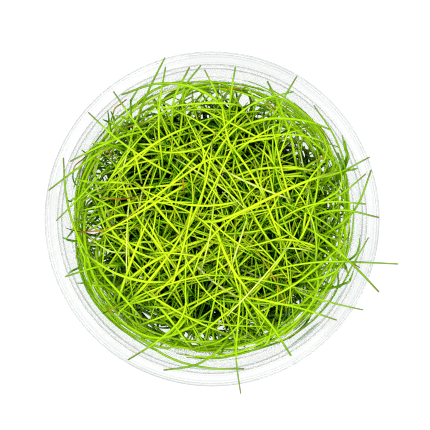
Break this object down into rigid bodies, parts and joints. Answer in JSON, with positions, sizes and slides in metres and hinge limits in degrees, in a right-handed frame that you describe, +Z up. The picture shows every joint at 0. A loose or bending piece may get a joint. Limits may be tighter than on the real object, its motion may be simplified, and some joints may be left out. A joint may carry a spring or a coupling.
{
  "type": "dwarf hairgrass in a plant cup",
  "caption": "Open clear plastic cup with a bed of set gel, crammed with a tangle of thin, round, yellow-green grass culms, some of which reach out over the rim.",
  "frame": {"origin": "middle of the cup's flat underside, on the surface the cup stands on", "axes": "+Z up along the cup's axis, out of its mouth; +Y towards the top edge of the picture"},
  "size_m": [0.0945, 0.0913, 0.0568],
  "materials": {
    "clear_plastic": "gloss",
    "clear_gel": "satin",
    "culms": "satin"
  },
  "bodies": {
    "root": {"cup": "clear_plastic", "nutrient_gel": "clear_gel", "tuft_01": "culms", "tuft_02": "culms", "tuft_03": "culms", "tuft_04": "culms", "tuft_05": "culms", "tuft_06": "culms", "tuft_07": "culms", "tuft_08": "culms", "tuft_09": "culms", "tuft_10": "culms", "tuft_11": "culms", "tuft_12": "culms", "tuft_13": "culms", "tuft_14": "culms", "tuft_15": "culms", "tuft_16": "culms", "tuft_17": "culms", "tuft_18": "culms", "tuft_19": "culms", "tuft_20": "culms", "tuft_21": "culms", "tuft_22": "culms", "tuft_23": "culms", "tuft_24": "culms", "tuft_25": "culms", "tuft_26": "culms", "tuft_27": "culms", "tuft_28": "culms", "tuft_29": "culms", "tuft_30": "culms", "tuft_31": "culms", "tuft_32": "culms", "tuft_33": "culms", "tuft_34": "culms", "tuft_35": "culms", "tuft_36": "culms"}
  },
  "joints": []
}
